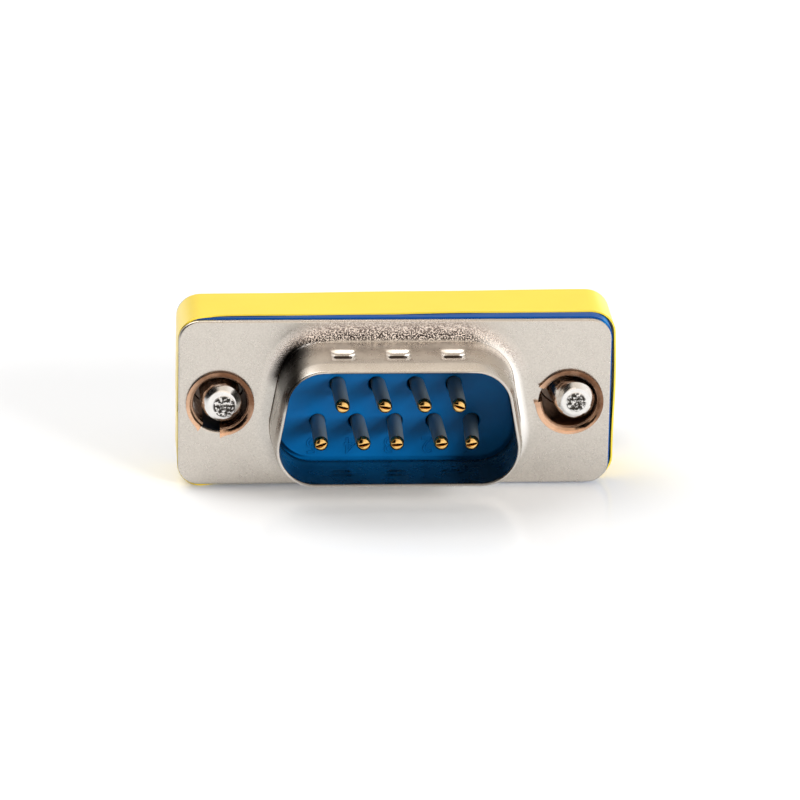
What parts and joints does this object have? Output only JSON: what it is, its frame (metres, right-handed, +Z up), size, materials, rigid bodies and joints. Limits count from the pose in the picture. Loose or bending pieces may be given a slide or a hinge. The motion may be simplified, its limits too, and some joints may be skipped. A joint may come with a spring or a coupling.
{
  "type": "d-sub adapter, nine-way plug to socket",
  "caption": "Slim nine-way D-sub adapter: a pin plug and a socket back to back on a flat body, held by split eyelets, with sliding jackscrews that lock it to both mates.",
  "frame": {"origin": "under the middle of the body, on the surface that it rests on, halfway between the flanges", "axes": "+X across the flanges to the right seen from the plug, -Y out of the plug, +Z up"},
  "size_m": [0.0312, 0.0188, 0.0129],
  "materials": {
    "shell_steel": "satin nickel plate with a fine grain",
    "insulator_plastic": "semi-gloss blue moulded thermoplastic",
    "label_film": "glossy yellow film, blank",
    "eyelet_copper": "bronze strip, half bright",
    "contact_gold": "gold flash over brass",
    "ring_steel": "dark spring steel",
    "screw_nickel": "bright nickel plate, rough ends"
  },
  "bodies": {
    "adapter": {"front_shell": "shell_steel", "rear_shell": "shell_steel", "front_insulator": "insulator_plastic", "rear_insulator": "insulator_plastic", "label_band": "label_film", "left_eyelet": "eyelet_copper", "right_eyelet": "eyelet_copper", "contact_1": "contact_gold", "contact_2": "contact_gold", "contact_3": "contact_gold", "contact_4": "contact_gold", "contact_5": "contact_gold", "contact_6": "contact_gold", "contact_7": "contact_gold", "contact_8": "contact_gold", "contact_9": "contact_gold"},
    "left_ring": {"left_retaining_ring": "ring_steel"},
    "left_screw": {"left_jackscrew": "screw_nickel"},
    "right_ring": {"right_retaining_ring": "ring_steel"},
    "right_screw": {"right_jackscrew": "screw_nickel"}
  },
  "joints": [
    {"name": "left_screw_slide", "type": "slide", "parent": "adapter", "child": "left_ring", "axis": [0, -1, 0], "range_m": [0, 0.003]},
    {"name": "left_screw_turn", "type": "hinge", "parent": "left_ring", "child": "left_screw", "pos_m": [-0.0125, 0, 0.00647], "axis": [0, -1, 0], "continuous": true},
    {"name": "right_screw_slide", "type": "slide", "parent": "adapter", "child": "right_ring", "axis": [0, -1, 0], "range_m": [0, 0.003]},
    {"name": "right_screw_turn", "type": "hinge", "parent": "right_ring", "child": "right_screw", "pos_m": [0.0125, 0, 0.00647], "axis": [0, -1, 0], "continuous": true}
  ]
}
